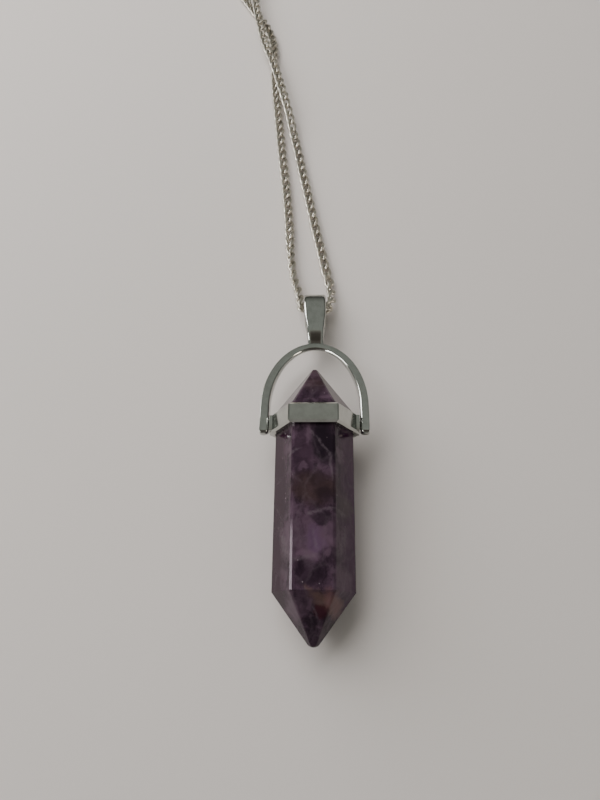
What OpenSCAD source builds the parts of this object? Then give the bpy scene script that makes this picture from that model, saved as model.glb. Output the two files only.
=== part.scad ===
// Crystal point pendant, lying on a flat surface with its whole necklace chain.
// X is across the pendant, Y runs along it towards the clasp, Z is up from the surface.
// The origin is on the surface, in the middle of everything that lies on it.

/* [Stone] */
// Width of the six-sided stone across opposite flats
stone_flats = 8.2; // [7:0.1:8.4]
// Length of the straight sides, from shoulder to shoulder
stone_body = 21; // [12:0.5:30]
// Height of each point, measured as if it were sharp
point_height = 6.15; // [4:0.05:6.5]
// Radius that polishing leaves at the lower point
low_tip_r = 0.7; // [0.3:0.05:0.9]
// Radius that polishing leaves at the upper point
high_tip_r = 0.5; // [0.3:0.05:0.9]
// Width of the polished bevel along the six long edges
stone_bevel = 0.35; // [0.1:0.05:0.8]
// Height of the upper shoulder above the middle of the collar
shoulder_rise = 1.6; // [1.5:0.1:2.5]

/* [Collar] */
// Width of the collar across opposite flats
collar_flats = 9.8; // [9.6:0.05:10.2]
// Height of the collar along the pendant
collar_height = 2.4; // [2.2:0.1:3]
// Bevel along every edge of the collar
collar_bevel = 0.25; // [0.1:0.05:0.3]
// Gap between the stone and the collar on each flat
stone_gap = 0.06; // [0.02:0.01:0.1]
// Distance from the middle of the collar to the outer face of each side lug
lug_reach = 5.4; // [5.3:0.05:5.4]
// Thickness of the side lugs
lug_thickness = 2.2; // [2:0.1:2.6]
// Radius of the pivot pins on the lugs
pin_r = 0.5; // [0.4:0.05:0.5]

/* [Hanger] */
// Half the width of the bow inside its legs
bow_inner_half = 5.5; // [5.5:0.05:5.7]
// Half the width of the bow outside its legs
bow_outer_half = 6.6; // [6.6:0.05:7]
// Height of the bow's crown above the pivots, outside
crown_height = 12; // [11.8:0.1:13]
// Width of the bow's metal at the crown, seen from the front
crown_width = 0.9; // [0.6:0.05:1]
// Height above the pivots at which the straight legs turn into the arch
spring_height = 2.4; // [2:0.1:4]
// Thickness of the legs, front to back, at the pivots
leg_thickness = 1.9; // [1.7:0.1:2.2]
// Thickness of the crown, front to back
crown_thickness = 0.55; // [0.5:0.05:0.9]
// Length of the legs below the pivots
leg_tail = 1.2; // [1.1:0.05:1.4]
// Clearance round each pivot pin in its eye
pin_clearance = 0.05; // [0.02:0.01:0.08]

/* [Bail] */
// Height of the bail's loop above the pivots
loop_height = 18.3; // [18:0.1:18.6]
// How far the middle of the loop lies behind the face of the bow
loop_back = 0.9; // [0.8:0.05:1]
// Outer radius of the loop, seen from the side
loop_r = 2; // [1.95:0.01:2.1]
// Thickness of the loop's wall
loop_wall = 0.65; // [0.5:0.05:0.65]
// Half the width of the bail at its top
bail_top_half = 1.5; // [1.4:0.05:1.55]
// Half the width of the bail at its narrow neck
bail_neck_half = 1; // [0.8:0.05:1.1]

/* [Chain] */
// Width of the curb chain
chain_width = 1.5; // [1.2:0.1:1.5]
// Thickness of the curb chain as it lies flat
chain_thickness = 1.2; // [1:0.1:1.2]

/* [Clasp] */
// Radius of the spring ring clasp, to the middle of its tube
clasp_r = 2.6; // [2.4:0.1:2.8]
// Radius of the clasp's tube
clasp_tube_r = 0.6; // [0.5:0.05:0.65]
// Radius of each joining ring, to the middle of its wire
ring_r = 1.5; // [1.4:0.05:1.6]
// Radius of the joining rings' wire
ring_wire_r = 0.3; // [0.25:0.05:0.3]
// Angle at which the clasp leans on the surface
clasp_lean = 27; // [25:1:30]

/* [Hidden] */
$fn = 48;

// Sizes of the stone that follow from the ones above
stone_half = stone_flats / 2;
shoulder_high = shoulder_rise;
shoulder_low = shoulder_rise - stone_body;
point_slope = atan(stone_half / point_height);
tip_steps = 3;

// The pendant lies on its collar's lower edge and on the stone's lower shoulder
collar_half = collar_flats / 2;
rest_edge = collar_height / 2 - collar_bevel;
lie_tilt = atan((collar_half - stone_half) / (-shoulder_low - rest_edge));
pivot_height = collar_half * cos(lie_tilt) + rest_edge * sin(lie_tilt);

// The hanger turns down on its pins until the bail's loop rests on the surface:
// loop_height * sin(droop) + loop_back * cos(droop) = pivot_height - loop_r
loop_reach = norm([loop_height, loop_back]);
droop = asin((pivot_height - loop_r) / loop_reach) - atan(loop_back / loop_height);

// Faces that pass through each other by this much join into one solid
join = 0.1;
// Length that cuts or crosses the whole pendant
across = 20;

// The chain's route on the surface, with x = 0 and y = 0 at the middle of the collar.
// Each row is [x, y, z], from the bail's loop outwards.
chain_left = [
    [-0.75, 18.3, 1.75], [-1.5, 18.3, 1.75], [-2.1, 18.6, 1.65], [-2.4, 19.6, 1.4],
    [-2.65, 21.5, 0.95], [-3.15, 24, 0.6], [-3.7, 28, 0.6], [-4, 33, 0.6],
    [-4.4, 38, 0.6], [-4.9, 43, 0.6], [-5.5, 48, 0.6], [-6, 53, 0.6],
    [-6.5, 58, 0.6], [-6.9, 62, 0.6], [-7.2, 66, 0.6], [-7.4, 70, 0.6],
    [-7.7, 74, 0.6], [-9, 78, 0.6], [-10.9, 81.5, 0.6], [-13.3, 86, 0.6],
    [-16, 91, 0.6], [-20, 98, 0.6], [-25.5, 108, 0.6], [-31.5, 119, 0.6],
    [-37, 131, 0.6], [-41, 143, 0.6], [-43.5, 155, 0.6], [-44.5, 167, 0.6],
    [-44, 179, 0.6], [-42, 190.5, 0.6], [-38.5, 201, 0.6], [-34, 209.5, 0.6],
    [-28.5, 216, 0.7], [-24, 219.8, 1.1], [-22, 220.7, 1.5], [-20.05, 221, 1.8]
];
chain_right = [
    [0.75, 18.3, 1.75], [1.5, 18.3, 1.75], [2.1, 18.6, 1.65], [2.4, 19.6, 1.4],
    [2.3, 21.3, 0.95], [1.85, 23.6, 0.6], [1.3, 26, 0.6], [0.5, 30, 0.6],
    [-0.4, 34.5, 0.6], [-1.2, 39, 0.6], [-2.1, 43.5, 0.6], [-2.9, 48, 0.6],
    [-3.8, 52.5, 0.8], [-4.6, 56.5, 1.4], [-5.5, 60, 1.9], [-6.5, 64, 1.9],
    [-7.6, 68, 1.9], [-8.9, 72, 1.9], [-9.8, 76, 1.9], [-10.6, 80, 1.9],
    [-11.1, 84, 1.9], [-11.3, 88, 1.3], [-10.9, 93, 0.7], [-8.5, 100, 0.6],
    [-4, 109, 0.6], [2, 120, 0.6], [7, 132, 0.6], [10.5, 144, 0.6],
    [13, 156, 0.6], [14, 168, 0.6], [13.5, 180, 0.6], [11.5, 191, 0.6],
    [8, 201.5, 0.6], [3.5, 210, 0.6], [-1.5, 216, 0.7], [-6, 219.8, 1.1],
    [-8, 220.7, 1.5], [-9.95, 221, 1.8]
];
chain_sides = 8;
chain_route = concat(reversed(chain_left), chain_right);

// The clasp leans between the two ends of the chain, and a joining ring sits on each side of it
chain_end = chain_left[len(chain_left) - 1];
other_end = chain_right[len(chain_right) - 1];
clasp_middle = [(chain_end.x + other_end.x) / 2, chain_end.y, clasp_r * sin(clasp_lean) + clasp_tube_r];
ring_shift = clasp_r + ring_r - ring_wire_r - clasp_tube_r - 0.1;

// The middle of the footprint, which the origin is put under
stone_tip = min([for (p = stone_points()) (p.z * cos(lie_tilt) + p.y * sin(lie_tilt))]);
clasp_top = clasp_middle.y + clasp_r * cos(clasp_lean) + clasp_tube_r;
chain_xs = [for (ring = chain_rings(), p = ring) p.x];
footprint_middle = [(min(chain_xs) + max(chain_xs)) / 2, (stone_tip + clasp_top) / 2];

function reversed(list) = [for (i = [len(list) - 1 : -1 : 0]) list[i]];
function unit(v) = v / norm(v);

// A hexagon with bevelled corners, with two of its corners on the X axis
function bevelled_hexagon(half, bevel) = [
    for (corner = [0 : 60 : 300], side = [-1, 1])
        let (turn = corner + side * 120)
        half / cos(30) * [cos(corner), sin(corner)] + bevel / (2 * cos(30)) * [cos(turn), sin(turn)]
];

// Rows of [place along the stone, size], from a shoulder to the rounded tip.
// way is -1 for the lower point and 1 for the upper one.
function point_rows(shoulder, way, tip_r) =
    let (ball = shoulder + way * (point_height - tip_r / sin(point_slope)))
    concat(
        [[shoulder, 1]],
        [for (i = [0 : tip_steps])
            let (rise = point_slope + (85 - point_slope) * i / tip_steps)
            [ball + way * tip_r * sin(rise), tip_r * cos(rise) / stone_half]]
    );
function stone_rows() = concat(
    reversed(point_rows(shoulder_low, -1, low_tip_r)),
    point_rows(shoulder_high, 1, high_tip_r)
);
function stone_points() = [
    for (row = stone_rows(), p = bevelled_hexagon(stone_half, stone_bevel))
        [p.x * row[1], p.y * row[1], row[0]]
];

// The faces of a closed skin over rings of points, with a flat cap at each end
function skin_faces(rings, sides) = concat(
    [[for (i = [0 : sides - 1]) i]],
    [for (r = [0 : rings - 2], i = [0 : sides - 1])
        let (next = (i + 1) % sides)
        [r * sides + i, (r + 1) * sides + i, (r + 1) * sides + next, r * sides + next]],
    [[for (i = [sides - 1 : -1 : 0]) (rings - 1) * sides + i]]
);

// The chain's outline at each point of its route: flat, as the chain lies
function route_direction(i) = unit(
    chain_route[min(i + 1, len(chain_route) - 1)] - chain_route[max(i - 1, 0)]
);
function chain_rings() = [
    for (i = [0 : len(chain_route) - 1])
        let (
            along = route_direction(i),
            side = unit(cross([0, 0, 1], along)),
            up = cross(along, side)
        )
        [for (k = [0 : chain_sides - 1])
            let (turn = (k + 0.5) * 360 / chain_sides, grow = 0.5 / cos(180 / chain_sides))
            chain_route[i] + side * chain_width * grow * cos(turn) + up * chain_thickness * grow * sin(turn)]
];

// The front outline of an arch that stands on straight legs
function arch(half, top, low, steps = 40) = concat(
    [[half, low]],
    [for (i = [0 : steps])
        [half * cos(180 * i / steps), spring_height + (top - spring_height) * sin(180 * i / steps)]],
    [[-half, low]]
);

module at_origin() {
    translate([-footprint_middle.x, -footprint_middle.y, 0]) children();
}

// Places what is drawn with Z along the stone and the collar
module along_stone() {
    at_origin() translate([0, 0, pivot_height]) rotate([lie_tilt - 90, 0, 0]) children();
}

// Places what is drawn with X across the hanger, Y along it from the pivots, and Z to its front
module along_hanger() {
    at_origin() translate([0, 0, pivot_height]) rotate([-droop, 0, 0]) children();
}

// Draws a [y, z] outline as a bar along X
module side_bar(length) {
    rotate([90, 0, 90]) linear_extrude(height = length, center = true) children();
}

// Two discs at [y, z] places and the straight band between them, as a flat outline
module teardrop(wide, wide_r, narrow, narrow_r) {
    line = narrow - wide;
    heading = atan2(line.y, line.x);
    lean = acos((wide_r - narrow_r) / norm(line));
    translate(wide) circle(r = wide_r);
    translate(narrow) circle(r = narrow_r, $fn = 24);
    polygon([
        for (end = [[wide, wide_r, 1], [wide, wide_r, -1], [narrow, narrow_r, -1], [narrow, narrow_r, 1]])
            end[0] + end[1] * [cos(heading + end[2] * lean), sin(heading + end[2] * lean)]
    ]);
}

// The stone: a six-sided prism with a point at each end
module crystal_point() {
    color("#4b2c50") along_stone()
        polyhedron(points = stone_points(), faces = skin_faces(len(stone_rows()), 12));
}

// The collar's hexagonal band, with every edge bevelled and its side corners cut off at the lugs
module collar_band() {
    h = collar_height / 2;
    corner_cut = collar_bevel / 2 * tan(30);
    intersection() {
        intersection_for (turn = [0 : 60 : 120])
            rotate([0, 0, turn]) side_bar(across) polygon([
                [-collar_half, -h + collar_bevel], [-collar_half + collar_bevel, -h],
                [collar_half - collar_bevel, -h], [collar_half, -h + collar_bevel],
                [collar_half, h - collar_bevel], [collar_half - collar_bevel, h],
                [-collar_half + collar_bevel, h], [-collar_half, h - collar_bevel]
            ]);
        rotate([0, 0, 30])
            cylinder(h = across, r = (collar_half / cos(30) - corner_cut) / cos(30), center = true, $fn = 6);
        cube([2 * lug_reach, across, across], center = true);
    }
}

// The collar: band, side lugs and pivot pins, cast as one piece
module collar() {
    lug_height = collar_height - 2 * collar_bevel;
    hole_half = stone_half + stone_gap;
    pin_start = lug_reach - 0.6;
    pin_end = bow_outer_half - 0.05;
    color("#a9aca8") along_stone() {
        difference() {
            union() {
                collar_band();
                cube([2 * lug_reach, lug_thickness, lug_height], center = true);
            }
            cylinder(h = across, r = hole_half / cos(30), center = true, $fn = 6);
        }
        for (side = [-1, 1])
            translate([side * (pin_start + pin_end) / 2, 0, 0]) rotate([0, 90, 0])
                cylinder(h = pin_end - pin_start, r = pin_r, center = true);
    }
}

// The bow's outline from the side: thick legs with rounded ends, thinning to the crown
module bow_side() {
    leg = leg_thickness / 2;
    crown = crown_thickness / 2;
    round_r = 0.5;
    polygon(concat(
        [[crown_height + join, crown], [leg_tail, leg]],
        [for (turn = [90 : 15 : 180]) [round_r - leg_tail + round_r * cos(turn), leg - round_r + round_r * sin(turn)]],
        [for (turn = [180 : 15 : 270]) [round_r - leg_tail + round_r * cos(turn), round_r - leg + round_r * sin(turn)]],
        [[leg_tail, -leg], [crown_height + join, -crown]]
    ));
}

// The bow: an arch whose metal narrows towards the crown
module bow() {
    intersection() {
        linear_extrude(height = across, center = true) difference() {
            polygon(arch(bow_outer_half, crown_height, -leg_tail));
            polygon(arch(bow_inner_half, crown_height - crown_width, -leg_tail - join));
        }
        side_bar(across) bow_side();
    }
}

// The bail: a strap that widens upwards and folds back on itself as a loop for the chain
module bail() {
    loop = [loop_height, -loop_back];
    neck = [crown_height - crown_width / 2, 0];
    slot_end = [loop_height - 4, -loop_back / 3];
    intersection() {
        side_bar(across) difference() {
            teardrop(loop, loop_r, neck, crown_thickness / 2);
            teardrop(loop, loop_r - loop_wall, slot_end, 0.3);
        }
        linear_extrude(height = across, center = true) polygon([
            for (side = [1, -1])
                each (side > 0 ? bail_edge(1) : reversed(bail_edge(-1)))
        ]);
    }
}

// The bail's edge on one side, from the flare on the crown to the top
function bail_edge(side) = [
    [side * 1.5, crown_height - crown_width],
    [side * 1.4, crown_height],
    [side * bail_neck_half, crown_height + 0.5],
    [side * (bail_neck_half + 0.05), crown_height + 2.2],
    [side * (bail_top_half - 0.25), loop_height - 1],
    [side * bail_top_half, loop_height + loop_r]
];

// The hanger: bow and bail cast as one piece, with an eye for a pivot pin in each leg
module hanger() {
    color("#a9aca8") along_hanger() difference() {
        union() {
            bow();
            bail();
        }
        rotate([0, 90, 0]) cylinder(h = across, r = pin_r + pin_clearance, center = true);
    }
}

// The chain: one run from the clasp through the bail's loop and back round to the other end
module chain() {
    rings = chain_rings();
    color("#b8b3a6") at_origin()
        polyhedron(
            points = [for (ring = rings) each ring],
            faces = skin_faces(len(rings), chain_sides)
        );
}

module torus(radius, tube_r) {
    rotate_extrude() translate([radius, 0]) circle(r = tube_r, $fn = 24);
}

// The clasp: a plain spring ring that leans on the surface
module clasp() {
    color("#b8b3a6") at_origin() translate(clasp_middle) rotate([clasp_lean, 0, 0])
        torus(clasp_r, clasp_tube_r);
}

// One joining ring, threaded on the clasp and on one end of the chain
module joining_ring(side) {
    color("#b8b3a6") at_origin() translate(clasp_middle + [side * ring_shift, 0, 0])
        rotate([clasp_lean + 90, 0, 0]) torus(ring_r, ring_wire_r);
}
module clasp_ring() { joining_ring(-1); }
module end_ring() { joining_ring(1); }

crystal_point();
collar();
hanger();
chain();
clasp();
clasp_ring();
end_ring();
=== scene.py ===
import math

import bmesh
import bpy
import numpy as np
from mathutils import Matrix, Vector


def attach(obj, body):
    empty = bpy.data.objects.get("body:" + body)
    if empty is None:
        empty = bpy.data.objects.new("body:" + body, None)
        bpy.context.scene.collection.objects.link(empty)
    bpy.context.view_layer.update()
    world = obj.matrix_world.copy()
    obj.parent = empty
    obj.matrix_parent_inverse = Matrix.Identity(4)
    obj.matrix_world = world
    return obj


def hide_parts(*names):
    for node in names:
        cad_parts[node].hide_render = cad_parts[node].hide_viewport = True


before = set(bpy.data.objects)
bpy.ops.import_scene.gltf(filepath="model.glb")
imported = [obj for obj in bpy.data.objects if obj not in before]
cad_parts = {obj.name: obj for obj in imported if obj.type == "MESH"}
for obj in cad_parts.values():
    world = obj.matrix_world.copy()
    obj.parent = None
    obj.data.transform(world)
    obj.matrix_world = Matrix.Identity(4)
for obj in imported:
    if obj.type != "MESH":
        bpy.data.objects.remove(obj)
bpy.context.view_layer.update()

MM = 0.001
TO_MM = (1000, 1000, 1000)
# The middle of the collar's footprint, from which the source lays out the pendant and its chain
COLLAR = Vector((15.25, -99.476, 0)) * MM
PIVOT = COLLAR + Vector((0, 0, 4.93655)) * MM
# How far the stone lies off level, the hanger droops on its pins and the clasp leans
LIE_TILT = math.radians(2.4828)
DROOP = math.radians(6.4072)
CLASP_LEAN = math.radians(27)

# Camera, as fitted to the photo: its place seen from the collar in millimetres, and its turns
CAMERA_PLACE = Vector((1.914, -28.192, 75.702))
CAMERA_LEAN, CAMERA_TILT, CAMERA_ROLL = math.radians(2.947), math.radians(21.54), math.radians(0.792)
SENSOR, LENS = 36, 28.35


def make_camera():
    data = bpy.data.cameras.new("camera")
    data.sensor_fit = "VERTICAL"
    data.sensor_height = SENSOR
    data.sensor_width = SENSOR
    data.lens = LENS
    data.clip_start = 0.001
    data.clip_end = 20
    camera = bpy.data.objects.new("camera", data)
    bpy.context.collection.objects.link(camera)
    turn = (
        Matrix.Rotation(LIE_TILT, 4, "X")
        @ Matrix.Rotation(CAMERA_LEAN, 4, "Y")
        @ Matrix.Rotation(CAMERA_TILT, 4, "X")
        @ Matrix.Rotation(CAMERA_ROLL, 4, "Z")
    )
    camera.matrix_world = Matrix.Translation(COLLAR + CAMERA_PLACE * MM) @ turn
    bpy.context.scene.camera = camera


# Materials
class Nodes:
    """Short names for the nodes that the materials are built from."""

    def __init__(self, name):
        self.material = bpy.data.materials.new(name)
        self.material.use_nodes = True
        self.tree = self.material.node_tree
        self.shader = self.tree.nodes["Principled BSDF"]
        self.position = self.tree.nodes.new("ShaderNodeTexCoord").outputs["Object"]

    def new(self, kind, inputs=(), **settings):
        node = self.tree.nodes.new(kind)
        for key, value in settings.items():
            setattr(node, key, value)
        for key, value in dict(inputs).items():
            self.put(value, node.inputs[key])
        return node

    def put(self, value, socket):
        if isinstance(value, bpy.types.NodeSocket):
            self.tree.links.new(value, socket)
        else:
            socket.default_value = value

    def finish(self, **values):
        """Sets the shader's sockets, named with _ for a space, and returns the material."""
        for name, value in values.items():
            self.put(value, self.shader.inputs[name.replace("_", " ")])
        return self.material

    def math(self, operation, a, b=0.0):
        return self.new("ShaderNodeMath", {0: a, 1: b}, operation=operation).outputs[0]

    def vector(self, operation, a, b=(0, 0, 0)):
        node = self.new("ShaderNodeVectorMath", {0: a, 1: b}, operation=operation)
        return node.outputs["Value" if operation == "LENGTH" else "Vector"]

    def place(self, vector, origin, turn, scale):
        """The vector as seen from an origin and turned, then stretched."""
        moved = self.vector("SUBTRACT", vector, tuple(origin))
        turned = self.new("ShaderNodeVectorRotate", {"Vector": moved, "Rotation": turn},
                          rotation_type="EULER_XYZ", invert=True).outputs["Vector"]
        return self.vector("MULTIPLY", turned, scale)

    def noise(self, vector, scale, detail, roughness=0.55, distortion=0.0):
        return self.new("ShaderNodeTexNoise", {
            "Vector": vector, "Scale": scale, "Detail": detail,
            "Roughness": roughness, "Distortion": distortion,
        }).outputs["Fac"]

    def ramp(self, value, low, high, out_low=0.0, out_high=1.0):
        """A smooth step from one value to another."""
        return self.new("ShaderNodeMapRange", {
            "Value": value, "From Min": low, "From Max": high, "To Min": out_low, "To Max": out_high,
        }, interpolation_type="SMOOTHSTEP").outputs[0]

    def mix(self, factor, a, b):
        node = self.new("ShaderNodeMix", data_type="RGBA")
        self.put(factor, node.inputs[0])
        for value, socket in ((a, node.inputs[6]), (b, node.inputs[7])):
            self.put(value if isinstance(value, bpy.types.NodeSocket) else (*value, 1.0), socket)
        return node.outputs[2]

    def bump(self, height, distance, strength):
        return self.new("ShaderNodeBump", {
            "Height": height, "Distance": distance, "Strength": strength,
        }).outputs["Normal"]


# Colours of the stone
DEEP, PLUM, MAUVE = (0.007, 0.004, 0.008), (0.038, 0.020, 0.034), (0.112, 0.068, 0.100)
VIOLET, SMOKE, BROWN = (0.100, 0.056, 0.104), (0.060, 0.045, 0.048), (0.044, 0.026, 0.024)
WINE, VEIL, RUST = (0.045, 0.009, 0.016), (0.150, 0.118, 0.138), (0.110, 0.066, 0.060)
ROSE, DUSK = (0.088, 0.060, 0.068), (0.190, 0.095, 0.100)
DARK_STREAK, PALE_STREAK = (0.020, 0.011, 0.019), (0.062, 0.036, 0.056)
# The first of these three colours is painted shade for the stone's left side
LEFT_PAINTED_SHADE, RIGHT_SIDE, SPECK = (0.020, 0.005, 0.014), (0.044, 0.006, 0.042), (0.34, 0.28, 0.31)

# Clouds seen on the stone's front, in its own frame in millimetres, drawn one over the other:
# colour, strength, x, y, half width, half length, turn in degrees, softness
CLOUDS = (
    (DEEP, 0.95, 1.1, -3.4, 1.35, 2.5, 6, 0.35),
    (PLUM, 0.80, -1.1, -4.6, 1.1, 2.2, 0, 0.50),
    (BROWN, 0.80, 0.1, -8.6, 2.6, 1.7, 0, 0.45),
    (DEEP, 0.60, 1.2, -9.3, 1.1, 0.8, -25, 0.50),
    (DEEP, 0.40, 0.6, -7.5, 1.0, 0.8, 0, 0.50),
    (MAUVE, 0.55, 0.0, -13.8, 2.9, 2.5, 0, 0.50),
    (VIOLET, 0.80, 0.2, -14.4, 0.9, 1.6, 0, 0.60),
    (DEEP, 0.75, 0.9, -11.9, 1.2, 0.75, 10, 0.35),
    (MAUVE, 0.80, -0.6, -15.9, 1.4, 0.45, 0, 0.50),
    (DEEP, 0.62, -0.3, -17.8, 1.7, 1.5, 0, 0.30),
    (DEEP, 0.50, 1.5, -15.8, 0.8, 0.9, -30, 0.50),
    (MAUVE, 0.70, 1.5, -15.6, 0.35, 0.5, 0, 0.40),
    (RUST, 0.95, 1.5, -20.6, 1.8, 0.8, -20, 0.50),
    (WINE, 0.80, 0.9, -21.5, 0.75, 0.8, 0, 0.30),
    (MAUVE, 0.70, -1.9, -21.3, 1.1, 1.2, 30, 0.50),
    (DEEP, 0.70, -0.1, -22.7, 0.6, 0.9, 0, 0.35),
    (MAUVE, 0.60, -0.4, -20.7, 0.3, 0.5, 0, 0.50),
    (DUSK, 0.80, 2.4, -21.0, 0.8, 1.5, 25, 0.50),
    (SMOKE, 0.75, 3.6, -10.4, 0.9, 1.5, 0, 0.50),
    (MAUVE, 0.75, 3.2, -18.3, 0.9, 1.4, 20, 0.50),
    (MAUVE, 0.75, -0.7, -2.2, 0.32, 1.1, 0, 0.50),
    (MAUVE, 0.70, -2.3, -2.4, 0.30, 0.9, 8, 0.50),
    (MAUVE, 0.75, 3.0, -4.6, 0.30, 0.8, 8, 0.60),
    (MAUVE, 0.60, -1.3, -6.2, 0.45, 0.42, 30, 0.50),
    (ROSE, 0.65, 0.1, 6.9, 1.4, 1.2, 0, 0.50),
    (BROWN, 0.60, 0.1, 4.6, 1.7, 1.2, 0, 0.50),
    (DEEP, 0.55, 0.1, 3.4, 1.6, 1.1, 0, 0.50),
)
# Fracture veils, each a straight thin sheet from a to b: colour, strength, ax, ay, bx, by, thickness
VEILS = (
    (VEIL, 0.55, -0.3, -1.9, 1.8, -4.7, 0.07),
    (VEIL, 0.50, 1.8, -4.7, 2.2, -7.7, 0.08),
    (VEIL, 0.50, -3.0, -4.9, -1.4, -4.0, 0.08),
    (VEIL, 0.60, -0.6, -11.6, 0.6, -11.1, 0.10),
    (VEIL, 0.55, 0.6, -11.1, 2.4, -10.9, 0.10),
    (VEIL, 0.45, 2.4, -10.9, 3.8, -11.5, 0.12),
    (VEIL, 0.45, -3.9, -12.6, -2.6, -16.4, 0.22),
    (VEIL, 0.55, 3.9, -12.4, 2.7, -16.0, 0.26),
    (VEIL, 0.35, -2.2, -16.3, 0.6, -15.9, 0.14),
    (RUST, 0.80, -0.9, -18.9, 0.2, -19.8, 0.13),
    (RUST, 0.80, 0.2, -19.8, 1.4, -20.2, 0.13),
    (VEIL, 0.55, -0.1, -20.9, 0.5, -22.0, 0.07),
    (VEIL, 0.45, 0.5, -22.0, 0.8, -23.6, 0.07),
    (VEIL, 0.40, 0.0, -13.1, 0.5, -15.4, 0.10),
)
# Height of clouds and veils above the stone's axis, and half a cloud's depth
MARK_HEIGHT, CLOUD_DEPTH = 3.5, 4.0


def crystal_material():
    n = Nodes("amethyst")
    # Millimetres in the stone's own frame: x across, y along it, z to its front
    place = n.place(n.position, PIVOT, (LIE_TILT, 0, 0), TO_MM)

    def swayed(scale, amount):
        """The place moved about by a soft noise, so that what is drawn there is a little crooked."""
        sway = n.new("ShaderNodeTexNoise", {
            "Vector": place, "Scale": scale, "Detail": 4.0, "Roughness": 0.6,
        }).outputs["Color"]
        centred = n.vector("SUBTRACT", sway, (0.5, 0.5, 0.5))
        return n.vector("ADD", place, n.vector("MULTIPLY", centred, (amount, amount, amount)))

    loose, tight = swayed(0.7, 1.9), swayed(1.1, 0.7)
    # Growth streaks along the stone and clouds across it, plum to mauve
    streaks = n.noise(n.vector("MULTIPLY", loose, (1.0, 0.22, 1.0)), 1.5, 6.0, 0.62, 0.2)
    clouds = n.noise(loose, 0.40, 4.0, 0.55, 0.4)
    colour = n.mix(n.ramp(streaks, 0.34, 0.68), DARK_STREAK, PALE_STREAK)
    colour = n.mix(n.math("MULTIPLY", n.ramp(clouds, 0.44, 0.68), 0.7), colour, MAUVE)
    # Painted shade darkens the stone towards its left side, which the key light faces; the stone is more
    # purple towards its right one
    sideways = n.new("ShaderNodeSeparateXYZ", {0: place}).outputs[0]
    colour = n.mix(n.ramp(sideways, -2.2, -4.0, 0.0, 0.87), colour, LEFT_PAINTED_SHADE)
    colour = n.mix(n.ramp(sideways, 2.2, 4.0, 0.0, 0.80), colour, RIGHT_SIDE)

    ragged = n.ramp(streaks, 0.25, 0.65, 0.72, 1.0)
    for tint, strength, x, y, wide, long, turn, soft in CLOUDS:
        local = n.place(loose, (x, y, MARK_HEIGHT), (0, 0, math.radians(turn)),
                        (1 / wide, 1 / long, 1 / CLOUD_DEPTH))
        area = n.ramp(n.vector("LENGTH", local), 1 - soft, 1 + soft, strength, 0.0)
        colour = n.mix(n.math("MULTIPLY", area, ragged), colour, tint)

    # Veils fade towards their ends, behind the front and where the stone's noise breaks them
    broken = n.ramp(n.noise(place, 2.4, 3.0, 0.6), 0.30, 0.60, 0.25, 1.0)
    for tint, strength, ax, ay, bx, by, thick in VEILS:
        half, turn = math.hypot(bx - ax, by - ay) / 2, math.atan2(by - ay, bx - ax)
        local = n.place(tight, ((ax + bx) / 2, (ay + by) / 2, MARK_HEIGHT), (0, 0, turn), (1, 1, 1))
        part = n.new("ShaderNodeSeparateXYZ", {0: local})
        across = n.ramp(n.math("ABSOLUTE", part.outputs[1]), 0.0, thick * 3.0, strength * 0.75, 0.0)
        along = n.ramp(n.math("ABSOLUTE", part.outputs[0]), half * 0.7, half * 1.25, 1.0, 0.0)
        front = n.ramp(part.outputs[2], -3.0, -0.6)
        sheet = n.math("MULTIPLY", n.math("MULTIPLY", across, along), n.math("MULTIPLY", front, broken))
        colour = n.mix(sheet, colour, tint)

    # Faint healed cracks on every side, and tiny white specks in places
    cracks = n.new("ShaderNodeTexVoronoi", {
        "Vector": n.vector("MULTIPLY", tight, (1.0, 0.6, 1.0)), "Scale": 0.30,
    }, feature="DISTANCE_TO_EDGE").outputs["Distance"]
    colour = n.mix(n.math("MULTIPLY", n.ramp(cracks, 0.0, 0.07, 0.13, 0.0), broken), colour, VEIL)
    dots = n.new("ShaderNodeTexVoronoi", {"Vector": place, "Scale": 1.3}).outputs["Distance"]
    places = n.ramp(n.noise(place, 0.7, 2.0), 0.52, 0.66)
    colour = n.mix(n.math("MULTIPLY", n.ramp(dots, 0.03, 0.13, 0.8, 0.0), places), colour, SPECK)

    smear = n.noise(place, 1.6, 4.0, 0.6)
    return n.finish(
        Base_Color=colour,
        Roughness=n.ramp(smear, 0.3, 0.7, 0.04, 0.09),
        Normal=n.bump(smear, 0.00001, 0.4),
        IOR=1.45,
        Specular_IOR_Level=0.23,
        Specular_Tint=(1.0, 0.87, 0.96, 1.0),
    )


# How much scratches raise plated metal, and how much darker its grain is than its dull colour
SCRATCH, GRAIN_SHADE = 0.007, 0.7


def metal_material(name, bright, dull, smoothest, roughest, wave):
    """Plated metal: polished, with a slight cast waviness, faint scratches and duller spots."""
    n = Nodes(name)
    place = n.vector("MULTIPLY", n.position, TO_MM)
    spots = n.noise(place, 0.9, 5.0, 0.6)
    grain = n.noise(place, 14.0, 3.0, 0.6)
    lines = n.noise(n.vector("MULTIPLY", place, (0.6, 6.0, 0.6)), 5.0, 3.0, 0.6)
    colour = n.mix(n.ramp(spots, 0.35, 0.7), bright, dull)
    colour = n.mix(n.ramp(grain, 0.62, 0.8, 0.0, 0.25), colour, tuple(c * GRAIN_SHADE for c in dull))
    scratches = n.math("MULTIPLY", n.math("ADD", grain, lines), SCRATCH)
    height = n.math("ADD", n.math("MULTIPLY", spots, wave), scratches)
    wear = n.math("ADD", spots, n.math("MULTIPLY", grain, 0.4))
    return n.finish(
        Base_Color=colour,
        Metallic=1.0,
        Roughness=n.ramp(wear, 0.4, 0.95, smoothest, roughest),
        Normal=n.bump(height, 0.0001, 0.5),
    )


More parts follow.
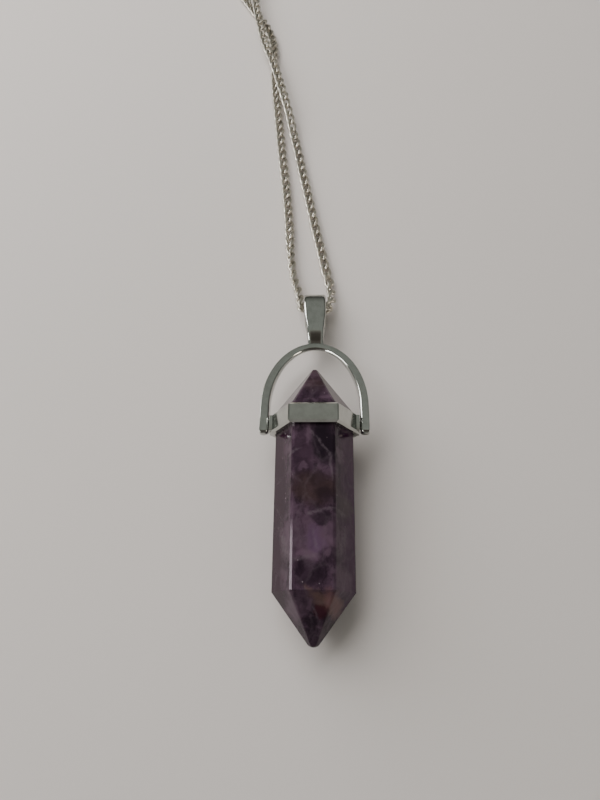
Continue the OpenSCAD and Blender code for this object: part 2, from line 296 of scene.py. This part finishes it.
def floor_material():
    n = Nodes("pale_paper")
    place = n.vector("MULTIPLY", n.position, TO_MM)
    blur = n.noise(place, 0.012, 3.0, 0.5)
    grain = n.noise(place, 2.5, 4.0, 0.6)
    colour = n.mix(blur, (0.715, 0.660, 0.635), (0.740, 0.690, 0.665))
    return n.finish(
        Base_Color=n.mix(n.math("MULTIPLY", grain, 0.12), colour, (0.62, 0.58, 0.565)),
        Roughness=0.75,
        Normal=n.bump(grain, 0.00002, 0.3),
    )


# Curves
def unit(rows):
    """The rows as directions of length 1."""
    return rows / np.linalg.norm(rows, axis=1)[:, None]


def run_along(points):
    """How far along a curve each of its points is."""
    return np.concatenate([[0], np.cumsum(np.linalg.norm(np.diff(points, axis=0), axis=1))])


def between(u, a, b, start, end):
    """The place at u on a line that passes a at the start and b at the end."""
    return (end - u) / (end - start) * a + (u - start) / (end - start) * b


def smooth(points, steps):
    """A smooth curve through the points, with so many steps between each two."""
    points = np.array(points, dtype=float)
    points = np.vstack([2 * points[0] - points[1], points, 2 * points[-1] - points[-2]])
    curve = []
    for i in range(1, len(points) - 2):
        near = points[i - 1:i + 3]
        t = np.concatenate([[0], np.cumsum(np.sqrt(np.linalg.norm(np.diff(near, axis=0), axis=1)))])
        u = np.linspace(t[1], t[2], steps, endpoint=False)[:, None]
        lines = [between(u, near[k], near[k + 1], t[k], t[k + 1]) for k in range(3)]
        bends = [between(u, lines[k], lines[k + 1], t[k], t[k + 2]) for k in range(2)]
        curve.append(between(u, bends[0], bends[1], t[1], t[2]))
    return np.vstack(curve + [points[-2:-1]])


# Chain links
# The chain's route in the source, from the bail's loop outwards, in millimetres
CHAIN_LEFT = [
    (-0.75, 18.3, 1.75), (-1.5, 18.3, 1.75), (-2.1, 18.6, 1.65), (-2.4, 19.6, 1.4),
    (-2.65, 21.5, 0.95), (-3.15, 24, 0.6), (-3.7, 28, 0.6), (-4, 33, 0.6),
    (-4.4, 38, 0.6), (-4.9, 43, 0.6), (-5.5, 48, 0.6), (-6, 53, 0.6),
    (-6.5, 58, 0.6), (-6.9, 62, 0.6), (-7.2, 66, 0.6), (-7.4, 70, 0.6),
    (-7.7, 74, 0.6), (-9, 78, 0.6), (-10.9, 81.5, 0.6), (-13.3, 86, 0.6),
    (-16, 91, 0.6), (-20, 98, 0.6), (-25.5, 108, 0.6), (-31.5, 119, 0.6),
    (-37, 131, 0.6), (-41, 143, 0.6), (-43.5, 155, 0.6), (-44.5, 167, 0.6),
    (-44, 179, 0.6), (-42, 190.5, 0.6), (-38.5, 201, 0.6), (-34, 209.5, 0.6),
    (-28.5, 216, 0.7), (-24, 219.8, 1.1), (-22, 220.7, 1.5), (-20.05, 221, 1.8),
]
CHAIN_RIGHT = [
    (0.75, 18.3, 1.75), (1.5, 18.3, 1.75), (2.1, 18.6, 1.65), (2.4, 19.6, 1.4),
    (2.3, 21.3, 0.95), (1.85, 23.6, 0.6), (1.3, 26, 0.6), (0.5, 30, 0.6),
    (-0.4, 34.5, 0.6), (-1.2, 39, 0.6), (-2.1, 43.5, 0.6), (-2.9, 48, 0.6),
    (-3.8, 52.5, 0.8), (-4.6, 56.5, 1.4), (-5.5, 60, 1.9), (-6.5, 64, 1.9),
    (-7.6, 68, 1.9), (-8.9, 72, 1.9), (-9.8, 76, 1.9), (-10.6, 80, 1.9),
    (-11.1, 84, 1.9), (-11.3, 88, 1.3), (-10.9, 93, 0.7), (-8.5, 100, 0.6),
    (-4, 109, 0.6), (2, 120, 0.6), (7, 132, 0.6), (10.5, 144, 0.6),
    (13, 156, 0.6), (14, 168, 0.6), (13.5, 180, 0.6), (11.5, 191, 0.6),
    (8, 201.5, 0.6), (3.5, 210, 0.6), (-1.5, 216, 0.7), (-6, 219.8, 1.1),
    (-8, 220.7, 1.5), (-9.95, 221, 1.8),
]
ROUTE_STEPS = 40
# How far past the route's ends the links reach into the joining rings
RING_REACH = 0.79
LINK_PITCH = 1.6
# Half a link's length, its width and its twist to the middle of the wire, and the wire's radius
LINK_LONG, LINK_WIDE, LINK_TWIST, LINK_WIRE = 1.03, 0.5, 0.33, 0.225
# Half the thickness that rolling leaves a link
LINK_FLAT = 0.5
LINK_STEPS, WIRE_STEPS = 26, 8
# How far a link rolls by chance, and how many at each end lean with the clasp
LINK_ROLL, LINK_SEED = math.radians(3.5), 7
CLASP_LINKS = 6
# Near the bail the links stand on edge: how far they turn and rise, and where along the pendant
EDGE_TURN, EDGE_RISE = math.radians(75), 0.16
EDGE_START, EDGE_START_LENGTH = 18, 1.2
LEFT_EDGE_END, LEFT_EDGE_LENGTH, RIGHT_EDGE_END, RIGHT_EDGE_LENGTH = 34, 7, 25, 3
LEFT_STRAND = -1
# There they are also drawn in to the bail's sides
HUG, HUG_END, HUG_LENGTH, HUG_FROM = 0.28, 24, 4, 0.8


def link_shape():
    """One curb link: an oval of round wire, twisted so that its neighbours lie flat with it."""

    def wire(t):
        return np.stack([LINK_LONG * np.cos(t), LINK_WIDE * np.sin(t), LINK_TWIST * np.sin(2 * t)], axis=-1)

    nudge = 0.01
    t = np.linspace(0, 2 * math.pi, LINK_STEPS, endpoint=False)
    middle, ahead = wire(t), unit(wire(t + nudge) - wire(t - nudge))
    out = unit(middle * (1, 1, 0))
    out = unit(out - (out * ahead).sum(1)[:, None] * ahead)
    up = np.cross(ahead, out)
    turn = np.linspace(0, 2 * math.pi, WIRE_STEPS, endpoint=False) + math.pi / WIRE_STEPS
    shape = middle[:, None] + LINK_WIRE * (
        out[:, None] * np.cos(turn)[None, :, None] + up[:, None] * np.sin(turn)[None, :, None])
    # The links' faces are rolled flat, which makes the chain glitter
    shape[..., 2] = np.clip(shape[..., 2], -LINK_FLAT, LINK_FLAT)
    return shape.reshape(-1, 3)


def link_places():
    """The middle of each link, and the directions along it, to its side and up from its flat."""
    # The chain's curve, which reaches into the joining rings at both ends
    route = np.array(CHAIN_LEFT[::-1] + CHAIN_RIGHT, dtype=float)
    reach = np.array([RING_REACH, 0, 0])
    curve = smooth(np.vstack([route[0] + reach, route, route[-1] - reach]), ROUTE_STEPS)
    run = run_along(curve)
    count = round(run[-1] / LINK_PITCH)
    marks = np.linspace(0, run[-1], count + 1)
    ends = np.stack([np.interp(marks, run, curve[:, k]) for k in range(3)], axis=1)
    along = unit(ends[1:] - ends[:-1])
    middle = (ends[1:] + ends[:-1]) / 2
    side = unit(np.cross((0, 0, 1.0), along))
    up = np.cross(along, side)

    # The last links at each end lean with the clasp, and each link rolls a little by chance
    k = np.arange(count)
    at_ends = np.clip(1 - k / CLASP_LINKS, 0, 1) + np.clip(1 - (count - 1 - k) / CLASP_LINKS, 0, 1)
    chance = np.random.default_rng(LINK_SEED).normal(0, LINK_ROLL, count)
    roll = CLASP_LEAN * at_ends * np.sign(-along[:, 0]) + chance

    # Both strands stand on edge and hug the bail as they leave it, and lie down again further on
    x, y = middle[:, 0].copy(), middle[:, 1]
    lies_down = np.where(
        x < LEFT_STRAND,
        np.clip((LEFT_EDGE_END - y) / LEFT_EDGE_LENGTH, 0, 1),
        np.clip((RIGHT_EDGE_END - y) / RIGHT_EDGE_LENGTH, 0, 1),
    )
    edge_on = lies_down * np.clip((y - EDGE_START) / EDGE_START_LENGTH, 0, 1)
    roll += EDGE_TURN * edge_on
    middle[:, 2] += EDGE_RISE * edge_on
    drawn_in = HUG * np.clip((HUG_END - y) / HUG_LENGTH, 0, 1) * np.clip(np.abs(x) - HUG_FROM, 0, 1)
    middle[:, 0] -= np.sign(x) * drawn_in

    cos, sin = np.cos(roll)[:, None], np.sin(roll)[:, None]
    return middle, along, side * cos + up * sin, up * cos - side * sin


def chain_links():
    middle, along, side, up = link_places()
    shape = link_shape()
    points = (middle[:, None] + shape[None, :, 0:1] * along[:, None]
              + shape[None, :, 1:2] * side[:, None] + shape[None, :, 2:3] * up[:, None])
    points = points.reshape(-1, 3) * MM + np.array(COLLAR)
    points[:, 2] = np.maximum(points[:, 2], 0)
    i, j = np.meshgrid(np.arange(LINK_STEPS), np.arange(WIRE_STEPS), indexing="ij")
    next_i, next_j = (i + 1) % LINK_STEPS, (j + 1) % WIRE_STEPS
    corners = ((i, j), (next_i, j), (next_i, next_j), (i, next_j))
    face = np.stack([a * WIRE_STEPS + b for a, b in corners], -1).reshape(-1, 4)
    first = np.arange(len(middle)) * LINK_STEPS * WIRE_STEPS
    faces = (face[None] + first[:, None, None]).reshape(-1, 4)
    mesh = bpy.data.meshes.new("chain_links")
    mesh.from_pydata(points.tolist(), [], faces.tolist())
    mesh.update()
    mesh.polygons.foreach_set("use_smooth", [True] * len(mesh.polygons))
    links = bpy.data.objects.new("chain_links", mesh)
    bpy.context.collection.objects.link(links)
    return links


# The CAD's own pieces
WELD_DISTANCE = 0.000001
# Faces that meet at less than the first angle are one flat, and at more than the second an edge
FLAT_ANGLE, EDGE_ANGLE = math.radians(1), math.radians(15)


def dress(node, material, bevel=0, steps=1):
    """Gives a CAD node its material, and rounds its edges with modifiers that leave its mesh as it is."""
    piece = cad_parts[node]
    piece.data.materials.clear()
    piece.data.materials.append(material)
    piece.modifiers.new("weld", "WELD").merge_threshold = WELD_DISTANCE
    if bevel:
        flat = piece.modifiers.new("flat", "DECIMATE")
        flat.decimate_type = "DISSOLVE"
        flat.angle_limit = FLAT_ANGLE
        edge = piece.modifiers.new("edges", "BEVEL")
        edge.width = bevel * MM
        edge.segments = steps
        edge.limit_method = "ANGLE"
        edge.angle_limit = EDGE_ANGLE
        piece.modifiers.new("shade", "WEIGHTED_NORMAL")


# The hanger
def ring_mesh(rings):
    """Points and faces of a closed skin over rings of equally many points, with a face at each end."""
    count, sides = len(rings), len(rings[0])
    points = np.array(rings).reshape(-1, 3)
    faces = []
    for start in range(0, (count - 1) * sides, sides):
        for k in range(sides):
            k_next = (k + 1) % sides
            faces.append([start + k, start + k_next, start + sides + k_next, start + sides + k])
    faces += [list(range(sides))[::-1], [(count - 1) * sides + k for k in range(sides)]]
    return points, faces


CORNER_STEPS = 6


def rounded(half_wide, half_thick, corners):
    """A rectangle in [across, up] with elliptic corners, each given as its reach across and its reach up."""
    out = []
    for k, (x, z) in enumerate(((1, 1), (-1, 1), (-1, -1), (1, -1))):
        reach, rise = min(corners[k][0], half_wide), min(corners[k][1], half_thick)
        for turn in np.linspace(0, math.pi / 2, CORNER_STEPS) + k * math.pi / 2:
            out.append((x * (half_wide - reach) + reach * math.cos(turn),
                        z * (half_thick - rise) + rise * math.sin(turn)))
    return np.array(out)


# The bow in the hanger's own millimetres: half widths, where the arch springs, and its crown
BOW_INNER, BOW_OUTER, SPRING, CROWN, CROWN_WIDTH = 5.5, 6.6, 2.4, 12.0, 0.9
# Its thickness in the legs and at the crown, and where and over what height it thins
LEG_THICK, CROWN_THICK, THIN_FROM, THIN_LENGTH = 1.9, 0.55, 1.2, 10.4
ARCH_STEPS = 24
# Each leg's end, and the sections' distances from it
LEG_END, LEG_STEPS = -1.45, (0, 0.03, 0.1, 0.2, 0.32, 0.45, 0.7, 1.0, 1.4, 2.0, 2.8)
# How far the end is rounded over in front, how much of that its sides take, and how far its
# underside rises over what length
LEG_ROUND, LEG_ROUND_SIDES, LEG_RISE, LEG_RISE_LENGTH = 0.45, 0.85, 1.2, 1.0
# The section's corners: outer front, inner front, inner back, outer back
BOW_CORNERS = ((0.08, 0.08), (0.36, 0.30), (0.2, 0.2), (0.14, 0.14))


def bow_rings():
    """The bow's sections, from the end of its left leg to the end of its right one."""
    side = [((BOW_INNER, LEG_END + step), (BOW_OUTER, LEG_END + step), step) for step in LEG_STEPS]
    for a in np.linspace(0, math.pi / 2, ARCH_STEPS):
        inner = (BOW_INNER * math.cos(a), SPRING + (CROWN - CROWN_WIDTH - SPRING) * math.sin(a))
        outer = (BOW_OUTER * math.cos(a), SPRING + (CROWN - SPRING) * math.sin(a))
        side.append((inner, outer, LEG_RISE_LENGTH))
    rings = []
    for sign, order in ((-1, side), (1, side[-2::-1])):
        for inner, outer, from_end in order:
            inner, outer = np.array(inner), np.array(outer)
            middle, across = (inner + outer) / 2, outer - inner
            width = np.linalg.norm(across)
            thin = min(max((middle[1] - THIN_FROM) / THIN_LENGTH, 0), 1)
            over = LEG_ROUND - math.sqrt(LEG_ROUND ** 2 - (LEG_ROUND - min(from_end, LEG_ROUND)) ** 2)
            under = LEG_RISE * max(1 - from_end / LEG_RISE_LENGTH, 0)
            thick = LEG_THICK + (CROWN_THICK - LEG_THICK) * thin - over - under
            shape = rounded(width / 2 - over * LEG_ROUND_SIDES, thick / 2, BOW_CORNERS)
            flat = middle + across / width * shape[:, :1]
            rings.append(np.column_stack([flat[:, 0] * sign, flat[:, 1], shape[:, 1] + (under - over) / 2]))
    return rings


# The bail's strap as (along, up) of its middle, up its front and down its back
BAIL_FRONT = (
    (11.3, -0.26), (11.8, -0.11), (12.4, 0.09), (13.0, 0.30),
    (13.8, 0.53), (15.2, 0.69), (16.8, 0.75), (18.5, 0.775),
)
BAIL_BACK = ((16.2, -1.85), (14.8, -1.26), (13.6, -0.76), (12.6, -0.34), (12.0, -0.14), (11.3, -0.1))
# The middle of its fold round the chain, the fold's radius and the angles at which it is drawn
BAIL_FOLD, BAIL_FOLD_RADIUS = (18.5, -0.89), 1.665
BAIL_FOLD_ANGLES = (60, 30, 0, -30, -60, -90, -110)
BAIL_STEPS = 5
# Its half width along the pendant, and half its thickness at distances from its two ends
BAIL_ALONG = (11.3, 12.0, 12.6, 14.2, 16.2, 17.3, 20.0)
BAIL_HALF = (1.22, 1.07, 1.02, 1.16, 1.42, 1.47, 1.52)
BAIL_FROM_END = (0, 1.2, 2.6, 4.0)
BAIL_HALF_THICK = (0.26, 0.3, 0.4, 0.325)
BAIL_CORNERS = ((0.50, 0.30), (0.50, 0.30), (0.1, 0.1), (0.1, 0.1))
# It leans to the left a little, and crosses the middle at this height
BAIL_LEAN, BAIL_LEAN_HEIGHT = 0.025, 15


def bail_rings():
    """The bail's sections, from the crown up its front, round the fold for the chain and down its back."""
    (y, z), r = BAIL_FOLD, BAIL_FOLD_RADIUS
    fold = tuple((y + r * math.cos(a), z + r * math.sin(a)) for a in np.radians(BAIL_FOLD_ANGLES))
    path = smooth(BAIL_FRONT + fold + BAIL_BACK, BAIL_STEPS)
    run = run_along(path)
    rings = []
    for (y, z), (ahead_y, ahead_z), s in zip(path, unit(np.gradient(path, axis=0)), run):
        thick = np.interp(min(s, run[-1] - s), BAIL_FROM_END, BAIL_HALF_THICK)
        shape = rounded(np.interp(y, BAIL_ALONG, BAIL_HALF), thick, BAIL_CORNERS)
        across = shape[:, 0] - BAIL_LEAN * (y - BAIL_LEAN_HEIGHT)
        rings.append(np.column_stack([across, y - ahead_z * shape[:, 1], z + ahead_y * shape[:, 1]]))
    return rings


# The hole for the pins, drilled through both legs from side to side
EYE_RADIUS, EYE_HALF, EYE_STEPS = 0.55, 9.0, 40
# Edges of the hanger sharper than this stay sharp
SHARP_ANGLE = math.radians(50)


def make_hanger(material):
    """Bow and bail as one piece, with a hole in each leg for the collar's pins."""
    turn = Matrix.Translation(PIVOT) @ Matrix.Rotation(-DROOP, 4, "X")

    def piece(name, points, faces):
        mesh = bpy.data.meshes.new(name)
        mesh.from_pydata([turn @ Vector(p * MM) for p in points], [], faces)
        mesh.validate()
        made = bpy.data.objects.new(name, mesh)
        bpy.context.collection.objects.link(made)
        edit = bmesh.new()
        edit.from_mesh(mesh)
        bmesh.ops.recalc_face_normals(edit, faces=edit.faces)
        edit.to_mesh(mesh)
        edit.free()
        return made

    bow = piece("hanger_bow", *ring_mesh(bow_rings()))
    bail = piece("bail_part", *ring_mesh(bail_rings()))
    around = np.linspace(0, 2 * math.pi, EYE_STEPS, endpoint=False)
    circle = EYE_RADIUS * np.column_stack([np.cos(around), np.sin(around)])
    hole = [np.column_stack([np.full(EYE_STEPS, x), circle]) for x in (-EYE_HALF, EYE_HALF)]
    eye = piece("eye_part", *ring_mesh(hole))
    for other, operation in ((bail, "UNION"), (eye, "DIFFERENCE")):
        cut = bow.modifiers.new(operation.lower(), "BOOLEAN")
        cut.operation, cut.solver, cut.object, cut.use_self = operation, "EXACT", other, True
    graph = bpy.context.evaluated_depsgraph_get()
    mesh = bpy.data.meshes.new_from_object(bow.evaluated_get(graph))
    bow.modifiers.clear()
    bow.data = mesh
    for part in (bail, eye):
        bpy.data.objects.remove(part)
    mesh.materials.clear()
    mesh.materials.append(material)
    mesh.polygons.foreach_set("use_smooth", [True] * len(mesh.polygons))
    mesh.set_sharp_from_angle(angle=SHARP_ANGLE)
    bow.modifiers.new("shade", "WEIGHTED_NORMAL").keep_sharp = True
    return bow


# Floor, lights and room
FLOOR_HALF, FLOOR_DROP = 3.0, 0.00002


def make_floor():
    mesh = bpy.data.meshes.new("floor")
    corners = [(x * FLOOR_HALF, y * FLOOR_HALF, 0) for y in (-1, 1) for x in (-1, 1)]
    mesh.from_pydata(corners, [], [(0, 1, 3, 2)])
    floor = bpy.data.objects.new("floor", mesh)
    floor.location = (0, 0, -FLOOR_DROP)
    floor.data.materials.append(floor_material())
    bpy.context.collection.objects.link(floor)


def area_light(name, place, size, power, colour, aim=(0, 0, 0)):
    """A rectangular light at a place, facing an aim, both as seen from the pivots."""
    data = bpy.data.lights.new(name, "AREA")
    data.shape = "RECTANGLE"
    data.size, data.size_y = size
    data.energy = power
    data.color = colour
    light = bpy.data.objects.new(name, data)
    light.location = PIVOT + Vector(place)
    light.rotation_mode = "QUATERNION"
    light.rotation_quaternion = (Vector(place) - Vector(aim)).to_track_quat("Z", "Y")
    bpy.context.collection.objects.link(light)
    return light


DAYLIGHT = (1.0, 0.99, 0.97)


def make_lights():
    # Key and fill light the paper and the stone, and nothing mirrors them
    for soft in (
        area_light("key", (-0.20, 0.20, 0.22), (0.42, 0.42), 2.0, (1.0, 0.985, 0.96), (-0.09, 0.09, 0)),
        area_light("fill", (0.22, -0.36, 0.40), (0.50, 0.50), 0.18, (1.0, 0.98, 0.96)),
    ):
        soft.visible_glossy = False
    # The windows are only there to be mirrored
    for window in (
        area_light("left_window", (-0.351, -0.142, 0.185), (0.43, 0.07), 1.6, DAYLIGHT),
        area_light("high_window", (-0.270, -0.156, 0.281), (0.12, 0.10), 0.45, DAYLIGHT),
        area_light("far_window", (-0.290, 0.261, 0.158), (0.070, 0.16), 0.45, DAYLIGHT),
        area_light("right_window", (0.300, -0.150, 0.250), (0.12, 0.12), 0.40, (1.0, 0.88, 0.74)),
        area_light("front_strip", (0.0, -0.38, 0.115), (0.30, 0.05), 0.010, (1.0, 0.90, 0.86)),
    ):
        window.visible_diffuse = False


# A room with dark walls and a pale ceiling, as colours on the cosine from straight up, and the
# dark shape of who takes the picture, as tints on the cosine from the direction where they stand
ROOM_UP, VIEWER_WAY = (0, 0, 1), (0, -0.37, 0.93)
ROOM = (
    (0.0, (0.066, 0.066, 0.060)), (0.22, (0.076, 0.079, 0.071)), (0.42, (0.177, 0.184, 0.166)),
    (0.65, (0.295, 0.308, 0.283)), (1.0, (0.344, 0.362, 0.328)),
)
VIEWER = (
    (0.72, (1.0, 1.0, 1.0)), (0.82, (0.93, 0.88, 0.87)),
    (0.88, (0.60, 0.52, 0.51)), (0.94, (0.20, 0.16, 0.15)),
)


def make_room():
    world = bpy.data.worlds.new("studio")
    bpy.context.scene.world = world
    world.use_nodes = True
    nodes, links = world.node_tree.nodes, world.node_tree.links

    def lit_by(direction, stops):
        """A ramp of colours on how far the view turns away from a direction."""
        towards = nodes.new("ShaderNodeVectorMath")
        towards.operation = "DOT_PRODUCT"
        towards.inputs[1].default_value = direction
        links.new(nodes.new("ShaderNodeTexCoord").outputs["Generated"], towards.inputs[0])
        ramp = nodes.new("ShaderNodeValToRGB")
        links.new(towards.outputs["Value"], ramp.inputs[0])
        elements = ramp.color_ramp.elements
        elements[0].position, elements[1].position = stops[0][0], stops[-1][0]
        for place, _ in stops[1:-1]:
            elements.new(place)
        for element, (_, colour) in zip(elements, stops):
            element.color = (*colour, 1.0)
        return ramp.outputs[0]

    both = nodes.new("ShaderNodeMix")
    both.data_type, both.blend_type = "RGBA", "MULTIPLY"
    both.inputs[0].default_value = 1.0
    links.new(lit_by(ROOM_UP, ROOM), both.inputs[6])
    links.new(lit_by(VIEWER_WAY, VIEWER), both.inputs[7])
    links.new(both.outputs[2], nodes["Background"].inputs["Color"])
    nodes["Background"].inputs["Strength"].default_value = 1.0


make_camera()
make_floor()
make_lights()
make_room()

pendant_metal = metal_material("pendant_metal", bright=(0.50, 0.51, 0.485), dull=(0.44, 0.45, 0.425),
                               smoothest=0.07, roughest=0.15, wave=0.10)
chain_metal = metal_material("chain_metal", bright=(0.66, 0.63, 0.56), dull=(0.52, 0.49, 0.43),
                             smoothest=0.28, roughest=0.42, wave=0.05)

dress("crystal_point", crystal_material(), bevel=0.20, steps=3)
dress("collar", pendant_metal, bevel=0.15, steps=4)
hanger = make_hanger(pendant_metal)
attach(hanger, "hanger_and_chain")
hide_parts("hanger")
for name in ("clasp", "clasp_ring", "end_ring"):
    dress(name, chain_metal)

links = chain_links()
links.data.materials.append(chain_metal)
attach(links, "hanger_and_chain")
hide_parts("chain")
